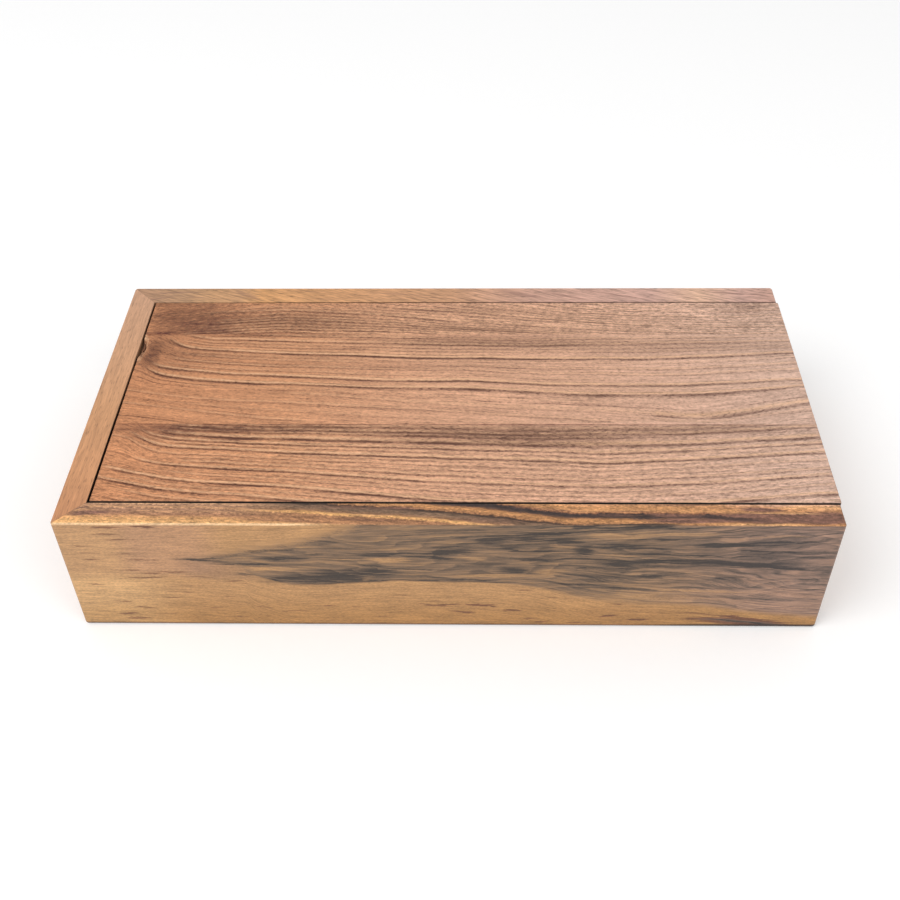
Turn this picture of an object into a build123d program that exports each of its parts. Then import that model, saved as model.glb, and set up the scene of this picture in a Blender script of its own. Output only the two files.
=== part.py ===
from build123d import *
import os
from math import sqrt

# A hardwood box for a stack of photo prints, with a lid that slides out over its low right-hand end.
# Three walls stand to the full height and hold the lid in a groove. The long walls are mitred into the
# closed end and run past the ends of the low wall at the open end. The bottom is a panel held in a groove.
# X runs along the lid's travel, towards the open end. Y runs from the front wall to the back wall.
# Z is up from the surface that the box stands on, and the origin is under the middle of the whole box.
# All sizes are in millimetres.

# Outside of the box
BOX_LENGTH = 254.0
BOX_DEPTH = 129.4
BOX_HEIGHT = 51.2
WALL = 9.6
CORNER_RADIUS = 1.2
TOP_EDGE_RADIUS = 0.6
BOTTOM_EDGE_RADIUS = 1.1

# Lid, and the groove that it slides in
LID_THICKNESS = 8.0
LIP = 4.0
LIP_EDGE_RADIUS = 0.25
LID_GROOVE_DEPTH = 4.6
TONGUE_EDGE_PLAY = 0.6
TONGUE_FACE_PLAY = 0.3
LID_FRONT_GAP = 0.55
LID_BACK_GAP = 0.25
LID_CLOSED_GAP = 0.65
LID_OVERHANG = 0.6
LID_EDGE_RADIUS = 0.35
LID_CORNER_RADIUS = 0.8
LID_PASS_GAP = 0.4
FRONT_BOARD_WIDTH = 38.2
BACK_BOARD_WIDTH = 20.2

# Knot that has fallen out of the middle board's left end
KNOT_LENGTH = 2.1
KNOT_WIDTH = 12.4
KNOT_FROM_SEAM = 8.6
KNOT_DEPTH = 3.4

# Bottom panel
PANEL_THICKNESS = 4.0
PANEL_RECESS = 3.0
PANEL_GROOVE_DEPTH = 4.0
PANEL_EDGE_PLAY = 0.5
PANEL_FACE_PLAY = 0.1

# Wall between the prints and the small compartment
PRINT_BAY_LENGTH = 157.5
DIVIDER_THICKNESS = 6.0
DIVIDER_DADO_DEPTH = 3.0
DIVIDER_EDGE_PLAY = 0.2
DIVIDER_FACE_PLAY = 0.05
DIVIDER_LID_GAP = 1.2
DIVIDER_TOP_RADIUS = 1.5

# Blind splines in the two mitres
SPLINE_THICKNESS = 2.6
SPLINE_WIDTH = 7.0
SPLINE_SETBACK = 4.5
SPLINE_END_MARGIN = 2.5
SPLINE_PLAY = 0.05

# Blind dowels at the open end
DOWEL_DIAMETER = 5.0
DOWEL_IN_LONG_WALL = 5.6
DOWEL_IN_END_WALL = 10.4
DOWEL_PLAY = 0.05
DOWEL_END_PLAY = 0.4
DOWEL_CHAMFER = 0.5
DOWEL_FROM_PANEL = 8.0
DOWEL_FROM_TOP = 9.0

# Places that follow from those sizes
CLOSED_X = -(BOX_LENGTH + LID_OVERHANG) / 2
OPEN_X = CLOSED_X + BOX_LENGTH
FRONT_Y = -BOX_DEPTH / 2
BACK_Y = BOX_DEPTH / 2
INNER_CLOSED_X = CLOSED_X + WALL
INNER_OPEN_X = OPEN_X - WALL
INNER_FRONT_Y = FRONT_Y + WALL
INNER_BACK_Y = BACK_Y - WALL

LID_UNDERSIDE = BOX_HEIGHT - LID_THICKNESS
LIP_UNDERSIDE = BOX_HEIGHT - LIP
TONGUE_TOP = LIP_UNDERSIDE - TONGUE_FACE_PLAY
TONGUE_REACH = LID_GROOVE_DEPTH - TONGUE_EDGE_PLAY
LID_CLOSED_X = INNER_CLOSED_X + LID_CLOSED_GAP
LID_OPEN_X = OPEN_X + LID_OVERHANG
LID_FRONT_Y = INNER_FRONT_Y + LID_FRONT_GAP
LID_BACK_Y = INNER_BACK_Y - LID_BACK_GAP
FRONT_SEAM_Y = LID_FRONT_Y + FRONT_BOARD_WIDTH
BACK_SEAM_Y = LID_BACK_Y - BACK_BOARD_WIDTH

END_WALL_TOP = LID_UNDERSIDE - LID_PASS_GAP
PANEL_TOP = PANEL_RECESS + PANEL_THICKNESS
PANEL_GROOVE_TOP = PANEL_TOP + PANEL_FACE_PLAY
PANEL_REACH = PANEL_GROOVE_DEPTH - PANEL_EDGE_PLAY

DIVIDER_OPEN_X = INNER_OPEN_X - PRINT_BAY_LENGTH
DIVIDER_CLOSED_X = DIVIDER_OPEN_X - DIVIDER_THICKNESS
DIVIDER_TOP = LID_UNDERSIDE - DIVIDER_LID_GAP
DIVIDER_REACH = DIVIDER_DADO_DEPTH - DIVIDER_EDGE_PLAY

SPLINE_BOTTOM = PANEL_GROOVE_TOP + SPLINE_END_MARGIN
SPLINE_TOP = LID_UNDERSIDE - SPLINE_END_MARGIN

DOWEL_X = OPEN_X - WALL / 2
DOWEL_HEIGHTS = {"lower": PANEL_GROOVE_TOP + DOWEL_FROM_PANEL, "upper": END_WALL_TOP - DOWEL_FROM_TOP}


def span(x_from, x_to, y_from, y_to, z_from, z_to):
    """A block between two corners."""
    middle = Pos((x_from + x_to) / 2, (y_from + y_to) / 2, (z_from + z_to) / 2)
    return middle * Box(x_to - x_from, y_to - y_from, z_to - z_from)


def upright(*corners):
    """A prism on a plan outline, as tall as the box."""
    return extrude(make_face(Polyline(*corners, close=True)), BOX_HEIGHT)


def sanded_outside():
    """The outside of the whole box with its edges eased, which every wall is trimmed to."""
    block = span(CLOSED_X, OPEN_X, FRONT_Y, BACK_Y, 0, BOX_HEIGHT)
    block = fillet(block.edges().filter_by(Axis.Z), CORNER_RADIUS)
    block = fillet(block.faces().sort_by(Axis.Z)[-1].edges(), TOP_EDGE_RADIUS)
    return fillet(block.faces().sort_by(Axis.Z)[0].edges(), BOTTOM_EDGE_RADIUS)


def lid_groove():
    """The space cut for the lid's tongues in three walls, open at the right-hand end."""
    return span(
        INNER_CLOSED_X - LID_GROOVE_DEPTH, OPEN_X,
        INNER_FRONT_Y - LID_GROOVE_DEPTH, INNER_BACK_Y + LID_GROOVE_DEPTH,
        LID_UNDERSIDE, LIP_UNDERSIDE,
    )


def panel_groove():
    """The space cut for the bottom panel's edges in all four walls, stopped short of the outside."""
    return span(
        INNER_CLOSED_X - PANEL_GROOVE_DEPTH, INNER_OPEN_X + PANEL_GROOVE_DEPTH,
        INNER_FRONT_Y - PANEL_GROOVE_DEPTH, INNER_BACK_Y + PANEL_GROOVE_DEPTH,
        PANEL_RECESS, PANEL_GROOVE_TOP,
    )


def divider_dado():
    """The space cut for the divider's ends in both long walls, stopped under the lid groove."""
    return span(
        DIVIDER_CLOSED_X - DIVIDER_FACE_PLAY, DIVIDER_OPEN_X + DIVIDER_FACE_PLAY,
        INNER_FRONT_Y - DIVIDER_DADO_DEPTH, INNER_BACK_Y + DIVIDER_DADO_DEPTH,
        PANEL_TOP, DIVIDER_TOP + DIVIDER_EDGE_PLAY,
    )


def spline(side, play=0.0):
    """The blind spline across a mitre, or its slot where play is given. side is -1 at the front, 1 at the back."""
    setback = SPLINE_SETBACK / sqrt(2)
    place = Pos(INNER_CLOSED_X - setback, side * (BOX_DEPTH / 2 - WALL + setback), 0)
    body = Box(
        SPLINE_WIDTH + 2 * play, SPLINE_THICKNESS + 2 * play, SPLINE_TOP - SPLINE_BOTTOM + 2 * play
    )
    return place * Rot(0, 0, side * 45) * Pos(0, 0, (SPLINE_TOP + SPLINE_BOTTOM) / 2) * body


def dowel(side, height, play=0.0, end_play=0.0):
    """A blind dowel from a long wall into the open end wall, or its hole where play is given."""
    length = DOWEL_IN_LONG_WALL + DOWEL_IN_END_WALL + 2 * end_play
    middle = BOX_DEPTH / 2 - WALL + (DOWEL_IN_LONG_WALL - DOWEL_IN_END_WALL) / 2
    pin = Cylinder(DOWEL_DIAMETER / 2 + play, length)
    if not play:
        pin = chamfer(pin.edges(), DOWEL_CHAMFER)
    return Pos(DOWEL_X, side * middle, height) * Rot(90, 0, 0) * pin


def dowel_holes(side):
    """The two holes for the dowels at one end of the open end wall."""
    return [dowel(side, height, DOWEL_PLAY, DOWEL_END_PLAY) for height in DOWEL_HEIGHTS.values()]


def eased_lip(wall, along, across, side):
    """The wall with the top edge beside the lid eased. side is 1 where the lid lies further along across."""
    top = wall.faces().sort_by(Axis.Z)[-1]
    edges = top.edges().filter_by(along).sort_by(across)
    return fillet(edges[-1] if side > 0 else edges[0], LIP_EDGE_RADIUS)


def long_wall(side):
    """The front wall where side is -1 and the back wall where it is 1: mitred at the closed end, square at the open end."""
    outer_y = side * BOX_DEPTH / 2
    inner_y = side * (BOX_DEPTH / 2 - WALL)
    wall = upright((CLOSED_X, outer_y), (OPEN_X, outer_y), (OPEN_X, inner_y), (INNER_CLOSED_X, inner_y))
    wall = wall & sanded_outside()
    wall = wall - lid_groove() - panel_groove() - divider_dado() - spline(side, SPLINE_PLAY)
    for hole in dowel_holes(side):
        wall = wall - hole
    return eased_lip(wall, Axis.X, Axis.Y, -side)


def closed_end_wall():
    """The full-height wall at the left, mitred at both ends."""
    wall = upright(
        (CLOSED_X, FRONT_Y), (INNER_CLOSED_X, INNER_FRONT_Y), (INNER_CLOSED_X, INNER_BACK_Y), (CLOSED_X, BACK_Y)
    )
    wall = wall & sanded_outside()
    wall = wall - lid_groove() - panel_groove() - spline(-1, SPLINE_PLAY) - spline(1, SPLINE_PLAY)
    return eased_lip(wall, Axis.Y, Axis.X, 1)


def open_end_wall():
    """The low wall at the right, between the long walls, which the lid passes over."""
    wall = span(INNER_OPEN_X, OPEN_X, INNER_FRONT_Y, INNER_BACK_Y, 0, END_WALL_TOP) & sanded_outside()
    wall = wall - panel_groove()
    for hole in dowel_holes(-1) + dowel_holes(1):
        wall = wall - hole
    top = wall.faces().sort_by(Axis.Z)[-1]
    return fillet(top.edges().filter_by(Axis.Y), TOP_EDGE_RADIUS)


def bottom_panel():
    """The thin floor, loose in its groove so that it can swell."""
    return span(
        INNER_CLOSED_X - PANEL_REACH, INNER_OPEN_X + PANEL_REACH,
        INNER_FRONT_Y - PANEL_REACH, INNER_BACK_Y + PANEL_REACH,
        PANEL_RECESS, PANEL_TOP,
    )


def compartment_divider():
    """The cross wall that keeps the prints at the open end."""
    divider = span(
        DIVIDER_CLOSED_X, DIVIDER_OPEN_X,
        INNER_FRONT_Y - DIVIDER_REACH, INNER_BACK_Y + DIVIDER_REACH,
        PANEL_TOP, DIVIDER_TOP,
    )
    top = divider.faces().sort_by(Axis.Z)[-1]
    return fillet(top.edges().filter_by(Axis.Y), DIVIDER_TOP_RADIUS)


def fallen_knot():
    """The space that a fallen knot leaves: half an ellipse in plan, in the top of the left end."""
    outline = Ellipse(KNOT_LENGTH, KNOT_WIDTH / 2)
    place = Pos(LID_CLOSED_X, BACK_SEAM_Y - KNOT_FROM_SEAM, BOX_HEIGHT - KNOT_DEPTH)
    return place * extrude(outline, KNOT_DEPTH)


def whole_lid():
    """The glued-up lid: a plate flush with the walls, with a tongue left by a rabbet along three edges."""
    plate = span(LID_CLOSED_X, LID_OPEN_X, LID_FRONT_Y, LID_BACK_Y, LID_UNDERSIDE, BOX_HEIGHT)
    tongues = span(
        INNER_CLOSED_X - TONGUE_REACH, LID_OPEN_X,
        INNER_FRONT_Y - TONGUE_REACH, INNER_BACK_Y + TONGUE_REACH,
        LID_UNDERSIDE, TONGUE_TOP,
    )
    corners = plate.edges().filter_by(Axis.Z).group_by(Axis.X)[-1]
    plate = fillet(corners, LID_CORNER_RADIUS)
    plate = fillet(plate.faces().sort_by(Axis.Z)[-1].edges(), LID_EDGE_RADIUS)
    return plate + tongues - fallen_knot()


def lid_board(y_from, y_to):
    """One of the boards that the lid is glued up from."""
    return whole_lid() & span(CLOSED_X, LID_OPEN_X, y_from, y_to, LID_UNDERSIDE, BOX_HEIGHT)


PIECES = {
    "front_wall": long_wall(-1),
    "back_wall": long_wall(1),
    "closed_end_wall": closed_end_wall(),
    "open_end_wall": open_end_wall(),
    "bottom_panel": bottom_panel(),
    "compartment_divider": compartment_divider(),
    "lid_front_board": lid_board(FRONT_Y, FRONT_SEAM_Y),
    "lid_middle_board": lid_board(FRONT_SEAM_Y, BACK_SEAM_Y),
    "lid_back_board": lid_board(BACK_SEAM_Y, BACK_Y),
    "front_mitre_spline": spline(-1),
    "back_mitre_spline": spline(1),
}
for level, height in DOWEL_HEIGHTS.items():
    PIECES[f"front_{level}_dowel"] = dowel(-1, height)
    PIECES[f"back_{level}_dowel"] = dowel(1, height)

os.makedirs("parts", exist_ok=True)
for name, piece in PIECES.items():
    export_step(piece, f"parts/{name}.step")
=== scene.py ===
# A slide-lid box for photo prints, in an open-grained brown hardwood with a slate-grey figure in its front.
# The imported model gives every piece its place; this script gives the pieces their timber, builds the lid's
# three rustic boards in full relief, and sets the box on a pale table under soft light.
import math

import bpy
import numpy as np
from mathutils import Matrix, Vector


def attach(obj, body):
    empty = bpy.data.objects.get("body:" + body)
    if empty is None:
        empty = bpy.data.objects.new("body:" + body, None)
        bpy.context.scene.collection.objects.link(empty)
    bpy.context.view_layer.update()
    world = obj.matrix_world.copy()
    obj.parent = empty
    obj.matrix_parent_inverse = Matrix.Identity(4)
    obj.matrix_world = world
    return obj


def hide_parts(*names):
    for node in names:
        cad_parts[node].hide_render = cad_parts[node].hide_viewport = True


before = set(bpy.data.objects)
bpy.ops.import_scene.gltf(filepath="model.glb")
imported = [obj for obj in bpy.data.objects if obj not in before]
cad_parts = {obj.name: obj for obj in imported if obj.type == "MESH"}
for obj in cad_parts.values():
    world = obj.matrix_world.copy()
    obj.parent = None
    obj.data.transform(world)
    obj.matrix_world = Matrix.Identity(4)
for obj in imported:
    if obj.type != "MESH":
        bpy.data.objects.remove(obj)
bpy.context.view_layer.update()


# The front wall is one board, sanded smooth and oiled. Its pale sapwood runs along the foot and the left,
# and a slate-grey heartwood figure fills the rest. Left end mitred, right end square, edges just eased.
# The figure runs through the board, so the top edge shows the same dark and golden bands on a slant.
FRONT_FACE, FRONT_INSIDE, OPEN_END, BOX_TOP = -64.7, -55.1, 126.7, 51.2
GAP_SHADE_FROM, GAP_SHADE_FULL = 49.6, 50.2
MM_PER_M = 1000.0


def tone(red, green, blue):
    """A colour as a screen shows it, 0 to 255, as the linear colour that a shader takes."""
    return tuple(((c / 255 + 0.055) / 1.055) ** 2.4 for c in (red, green, blue)) + (1.0,)


class Timber:
    """A wood finish put together node by node, on places measured in millimetres."""

    def __init__(self, name):
        self.material = bpy.data.materials.new(name)
        self.material.use_nodes = True
        self.tree = self.material.node_tree
        self.shader = self.tree.nodes["Principled BSDF"]
        feeds = {0: self.node("TexCoord", {}).outputs["Object"], 3: MM_PER_M}
        self.place = self.node("VectorMath", feeds, operation="SCALE").outputs[0]
        self.x, self.y, self.z = self.node("SeparateXYZ", {0: self.place}).outputs

    def node(self, kind, feeds, **settings):
        """A shader node with its settings made, each socket fed by a link or a value."""
        made = self.tree.nodes.new("ShaderNode" + kind)
        for name, value in settings.items():
            setattr(made, name, value)
        for socket, feed in feeds.items():
            if isinstance(feed, bpy.types.NodeSocket):
                self.tree.links.new(feed, made.inputs[socket])
            else:
                made.inputs[socket].default_value = feed
        return made

    def math(self, operation, a, b=0.0, c=0.0):
        return self.node("Math", {0: a, 1: b, 2: c}, operation=operation).outputs[0]

    def plus(self, a, b):
        return self.math("ADD", a, b)

    def less(self, a, b):
        return self.math("SUBTRACT", a, b)

    def times(self, a, b):
        return self.math("MULTIPLY", a, b)

    def scaled(self, value, factor, added):
        return self.math("MULTIPLY_ADD", value, factor, added)

    def unsigned(self, value):
        return self.math("ABSOLUTE", value)

    def clamped(self, value):
        return self.node("Clamp", {0: value}).outputs[0]

    def ease(self, value, low, high, start=0.0, end=1.0, kind="SMOOTHSTEP"):
        """start below low, end above high, and a soft change between them."""
        feeds = {0: value, 1: low, 2: high, 3: start, 4: end}
        return self.node("MapRange", feeds, interpolation_type=kind).outputs[0]

    def at(self, x, y, z):
        return self.node("CombineXYZ", {0: x, 1: y, 2: z}).outputs[0]

    def noise(self, size, detail=2.0, rough=0.5, seed=0.0, place=None):
        """Soft noise from 0 to 1 with blobs of that size in mm along X, Y and Z."""
        shift = (seed * 17.3, seed * 5.7, seed * 9.1)
        spot = self.node("Mapping", {0: place or self.place, 1: shift, 3: tuple(1 / s for s in size)})
        feeds = {"Vector": spot.outputs[0], "Scale": 1.0, "Detail": detail, "Roughness": rough}
        return self.node("TexNoise", feeds).outputs[0]

    def sway(self, noise, reach, middle=0.0):
        """The noise swung about a middle value."""
        return self.scaled(noise, reach, middle - reach / 2)

    def blend(self, share, a, b, how="MIX"):
        feeds = {0: share, 6: a, 7: b}
        return self.node("Mix", feeds, data_type="RGBA", blend_type=how).outputs[2]

    def curve(self, value, start, end, points, low, high):
        """A drawn line through (place, height) points; value runs start to end, heights low to high."""
        along = self.ease(value, start, end, kind="LINEAR")
        made = self.node("FloatCurve", {1: along})
        line = made.mapping.curves[0].points
        spots = [((p - start) / (end - start), (h - low) / (high - low)) for p, h in points]
        while len(line) < len(spots):
            line.new(0.5, 0.5)
        for point, spot in zip(line, spots):
            point.location = spot
            point.handle_type = "AUTO_CLAMPED"
        made.mapping.update()
        return self.scaled(made.outputs[0], high - low, low)

    def shaded(self, colour, share):
        """The colour made darker below a share of 1 and lighter above it."""
        grey = self.node("CombineColor", {0: share, 1: share, 2: share}).outputs[0]
        return self.blend(1.0, colour, grey, "MULTIPLY")

    def ramp(self, value, start, end, stops):
        """A colour that changes through (place, colour) stops as value runs from start to end."""
        made = self.node("ValToRGB", {0: self.ease(value, start, end, kind="LINEAR")})
        while len(made.color_ramp.elements) < len(stops):
            made.color_ramp.elements.new(0.5)
        for element, (spot, shade) in zip(made.color_ramp.elements, stops):
            element.position, element.color = (spot - start) / (end - start), tone(*shade)
        return made.outputs[0]

    def finish(self, colour, roughness, relief=None, height=0.05):
        """Colour and roughness on the shader, and relief as bump, height in mm."""
        self.tree.links.new(colour, self.shader.inputs["Base Color"])
        self.tree.links.new(roughness, self.shader.inputs["Roughness"])
        if relief is not None:
            feeds = {"Strength": 1.0, "Distance": height / MM_PER_M, "Height": relief}
            bump = self.node("Bump", feeds)
            self.tree.links.new(bump.outputs[0], self.shader.inputs["Normal"])
        return self.material


def wear(material, *nodes):
    """The CAD nodes take this finish in place of their plain one."""
    for name in nodes:
        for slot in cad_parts[name].material_slots:
            slot.material = material


def strokes(wood, place, marks):
    """Spindle-shaped marks, each (along, up, half length, half width, slope, strength), added up."""
    onto = 0.0
    for along, up, length, width, slope, strength in marks:
        feeds = {0: place, 1: (along, up, 0), 2: (0, 0, math.atan(slope)), 3: (length, width, 1)}
        spot = wood.node("Mapping", feeds, vector_type="TEXTURE").outputs[0]
        spindle = wood.node("TexGradient", {0: spot}, gradient_type="SPHERICAL").outputs[1]
        onto = wood.scaled(wood.ease(spindle, 0.0, 0.6), strength, onto)
    return onto


HEART_FOOT = [
    (-128, 36), (-92, 34.3), (-80, 33.0), (-72, 31.9), (-68.5, 31.2), (-67, 28.2), (-64, 26), (-60, 24.5),
    (-56, 22.8), (-50, 21.8), (-45, 21.8), (-40, 22), (-35, 22.6), (-25, 23.3), (-15, 24), (-5, 23.6),
    (5, 23.5), (12, 23.2), (20, 22.5), (27, 21.5), (35, 19.5), (45, 16), (55, 13.8), (65, 12.8), (75, 12.5),
    (85, 12), (92, 10.8), (100, 9), (115, 7), (128, 6),
]
HEART_HEAD = [
    (-128, 30), (-92, 32.5), (-88, 33.4), (-80, 35), (-75, 37), (-70, 38.5), (-65, 40), (-60, 41),
    (-55, 42), (-50, 43), (-45, 44.5), (-40, 46.5), (-35, 49), (-30, 51.5), (-20, 58), (128, 60)
]
HEART_STREAKS = [
    (-83, 34.2, 11, 0.9, 0.0, 0.45), (-74, 35.6, 8, 1.4, 0.13, 0.35), (-66, 31.9, 18, 0.6, -0.05, 0.6),
    (-55, 34.7, 13, 0.8, 0.03, 0.3), (-60, 38.5, 9, 1.2, 0.1, 0.3), (-42, 42.3, 9, 1.5, 0.08, 0.25),
    (-43, 24.9, 27, 3.4, 0.015, 0.42), (-33, 28.2, 16, 2.4, 0.05, 0.32), (-25, 31.3, 8, 0.9, -0.12, 0.4),
    (-22, 27.5, 10, 2.5, -0.12, 0.3), (-23, 37.3, 10, 1.4, -0.01, 0.5), (-8, 35.6, 11, 1.0, -0.07, 0.5),
    (-12, 30.0, 12, 0.5, 0, 0.35), (0, 38.1, 11, 1.9, 0.04, 0.45), (2, 41.2, 9, 1.2, 0.12, 0.35),
    (14, 44.0, 8, 2.8, 0.2, 0.40), (26, 44.3, 5, 1.5, 0.05, 0.35), (30, 46.9, 15, 0.8, 0.1, 0.45),
    (38, 43.8, 7, 1.3, -0.02, 0.45), (19.5, 40.5, 3.5, 1.0, 0, 0.4), (28, 39.2, 14, 0.5, -0.01, 0.35),
    (29, 34.6, 8, 0.7, -0.06, 0.5), (22, 29.3, 8, 1.9, -0.08, 0.5), (15, 32.3, 8, 1.0, 0.05, 0.25),
    (-8, 25.9, 11, 0.8, -0.02, 0.35), (44.5, 39.2, 4, 3.6, 0, 0.4), (55, 42, 12, 0.9, -0.02, 0.35),
    (62, 40.2, 18, 1.1, -0.05, 0.45), (52, 33.6, 9, 1.8, -0.15, 0.30), (62, 33.9, 12, 1.9, 0.03, 0.3),
    (80, 33.9, 18, 1.6, -0.02, 0.35), (104, 31.8, 16, 1.4, -0.1, 0.3), (63, 31.1, 9, 0.6, 0.06, 0.35),
    (74, 37.4, 24, 0.5, -0.04, 0.3), (52, 25.8, 14, 2.2, -0.05, 0.25), (93, 34, 20, 16, 0, 0.06),
    (50, 21.6, 16, 1.4, -0.12, 0.35), (62, 19.8, 12, 0.9, -0.06, 0.3), (4, 24.5, 18, 0.7, 0.01, 0.4),
    (88, 42, 16, 1.1, 0.05, 0.3), (110, 36, 20, 7, 0, 0.18), (83, 21, 11, 0.8, 0, 0.3),
    (95, 26.2, 10, 0.6, 0, 0.2), (120, 24.8, 7, 0.6, 0, 0.3), (44, 50.6, 6, 0.9, 0.06, 0.4),
    (62, 50.6, 20, 0.9, 0, 0.45), (70, 28.5, 30, 0.5, -0.03, 0.2), (108, 44, 12, 0.7, 0.03, 0.25),
    (104, 39, 14, 0.8, -0.03, 0.25), (74, 23.6, 26, 0.4, -0.02, 0.2), (110, 15, 16, 0.7, -0.06, 0.2),
    (88, 16.5, 22, 0.7, -0.06, 0.22), (95, 33.2, 16, 1.6, -0.04, 0.35), (112, 30.5, 11, 0.8, -0.06, 0.4),
    (100, 42.7, 17, 1.9, 0.06, 0.35), (86, 42.4, 7, 0.9, 0.03, 0.25), (-67.5, 27.3, 4, 0.7, -0.15, 0.45),
    (30, 42, 18, 4.0, 0.05, 0.15), (99, 3.3, 16, 1.2, -0.08, 0.6), (110, 2.2, 9, 0.7, -0.08, 0.5),
    (62, 44.6, 14, 0.5, -0.02, 0.25), (52, 48.6, 12, 0.5, 0.02, 0.2), (-76, 33.2, 17, 0.6, -0.08, 0.35),
    (18, 27.5, 12, 1.0, -0.04, 0.25), (-50, 31.0, 10, 0.8, 0, 0.12), (-30, 35, 9, 0.9, 0, 0.1),
    (8, 34.2, 7, 0.5, -0.05, 0.1), (-46, 36.6, 12, 0.5, 0.02, 0.2), (-34, 40.2, 10, 0.5, 0.05, 0.2),
    (-2, 44.5, 16, 0.5, 0.12, 0.18), (-14, 47, 14, 0.5, 0.1, 0.15), (2, 48.6, 16, 0.6, 0.05, 0.18),
]
SAP_STREAKS = [
    (-63.5, 29.5, 6, 1.3, -0.12, 0.7), (-21, 34.2, 11, 1.7, -0.06, 0.50), (55, 46.2, 17, 2.0, -0.01, 0.36),
    (77, 47.2, 15, 1.5, 0.03, 0.36), (16, 26.6, 22, 1.2, 0, 0.40), (34, 28.8, 8, 2.2, 0.1, 0.3),
    (88, 19.2, 26, 0.8, -0.03, 0.35), (37, 41.3, 6, 1.2, 0, 0.35), (-56, 29.2, 9, 1.4, -0.05, 0.35),
    (55, 37.2, 12, 0.8, -0.04, 0.28), (105, 46, 18, 0.6, 0.07, 0.3), (8, 34.6, 10, 0.8, -0.12, 0.28),
    (70, 25.0, 18, 0.6, 0, 0.2), (-52, 39.8, 14, 0.5, 0.03, 0.22), (-40, 33.3, 12, 0.5, 0, 0.18),
    (-10, 40.5, 9, 0.7, 0.15, 0.2), (20, 36.8, 14, 0.9, -0.02, 0.18), (-28, 25.0, 3, 1.6, 0.6, 0.3),
    (72, 36.0, 20, 0.5, 0, 0.2), (66, 15.5, 18, 0.8, -0.05, 0.2),
]
RESIN_FLECKS = [
    (-98, 50, 6, 0.6, 0.02, 0.7), (-110, 49.2, 8, 0.5, 0.04, 0.45), (-105, 43.8, 7, 0.4, 0.06, 0.5),
    (-117, 33.8, 4.5, 0.45, 0.05, 0.6), (-119, 37, 4, 0.45, 0.02, 0.3), (-94, 14.9, 4.5, 0.45, 0.05, 0.6),
    (-104, 9.6, 2.5, 0.4, -0.05, 0.4), (-111, 5.8, 4, 1.0, 0, 0.4), (-100, 25.2, 8, 0.4, 0, 0.45),
    (-98, 27.2, 5, 0.4, 0.08, 0.4), (-72, 23.2, 3, 0.6, 0, 0.35), (-68, 22, 1.5, 0.5, 0.05, 0.35),
    (-90, 17.5, 6, 0.4, 0, 0.3), (10, 11.4, 8, 0.55, -0.08, 0.8), (-3, 11.4, 9, 0.4, 0, 0.45),
    (5, 7.5, 5, 0.8, 0, 0.5), (22, 8.7, 5, 0.5, 0, 0.7), (26, 19.4, 4, 0.45, -0.1, 0.4),
    (38, 15.7, 3, 0.5, 0.08, 0.45), (55, 5.9, 4, 0.55, 0, 0.6), (57.5, 12.4, 2.5, 0.5, 0, 0.45),
    (65, 4, 5, 0.6, -0.02, 0.65), (33, 2.8, 4, 0.5, 0, 0.4), (45, 2.3, 4, 0.55, 0.02, 0.45),
    (-40, 10.6, 2.5, 0.6, -0.05, 0.4), (-15, 16.5, 5, 0.3, 0, 0.25), (-31, 10.0, 3, 0.35, 0, 0.25),
    (-45, 13, 2, 0.4, 0, 0.2), (-6, 13.4, 2, 0.4, 0, 0.3), (27, 4.8, 3, 0.35, 0.05, 0.35),
    (-62, 9.8, 4, 0.4, 0, 0.3), (100, 3.2, 21, 2.7, -0.06, 0.85), (98, 5.8, 11, 0.7, -0.13, 0.7),
    (60, 7, 22, 6, 0, 0.06), (88, 4.3, 8, 0.5, 0.02, 0.6), (110, 2.4, 11, 0.6, -0.08, 0.8),
    (84, 7.6, 10, 0.5, -0.05, 0.3), (92, 50.2, 12, 0.6, 0, 0.4), (-112, 46.2, 6, 0.35, 0.05, 0.35),
    (-120, 40.5, 4, 0.35, 0, 0.4), (-108, 37, 5, 0.3, 0.03, 0.3), (-100, 33.6, 9, 0.35, 0.01, 0.35),
    (-106, 28.6, 5, 0.35, 0.04, 0.4), (-92, 28.0, 8, 0.35, 0.02, 0.4), (-84, 25.4, 7, 0.3, 0.03, 0.3),
    (-118, 22, 4, 0.35, 0, 0.3), (-88, 20.5, 9, 0.3, 0.02, 0.3), (-76, 15.6, 5, 0.3, 0, 0.3),
    (-112, 12.4, 5, 0.35, 0, 0.35), (-97, 6.2, 6, 0.4, 0.03, 0.4), (-108, 3.2, 6, 0.4, 0, 0.35),
    (-80, 9.4, 4, 0.35, 0, 0.3), (-74, 4.6, 6, 0.3, 0, 0.3), (-52, 7.6, 6, 0.3, 0, 0.3),
    (-22, 5.2, 5, 0.35, 0, 0.35),
]
HEART_BROWNS = [(0.0, (176, 134, 90)), (0.28, (147, 114, 83)), (0.6, (108, 86, 67)), (1.0, (52, 41, 33))]
HEART_MAUVES = [(0.0, (176, 136, 112)), (0.28, (146, 115, 97)), (0.6, (104, 84, 73)), (1.0, (52, 42, 38))]
RAIL_COURSE = [
    (-128, 1.5), (-100, 0.9), (-64, 0), (-30, -2.0), (0, -4.6), (10, -5.8), (30, -8.8), (40, -10.2),
    (50, -10.4), (83, -10.6), (96, -12), (128, -12.2)
]
RAIL_LEFT_BANDS = [
    (-67, (228, 175, 116)), (-64.2, (226, 171, 111)), (-62.4, (212, 156, 102)), (-61.5, (184, 132, 92)),
    (-60.6, (158, 113, 84)), (-59.6, (192, 142, 102)), (-58.8, (158, 116, 90)), (-57.8, (198, 148, 106)),
    (-57.0, (164, 122, 94)), (-56.2, (212, 162, 120)), (-55, (190, 140, 106)),
]
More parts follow.
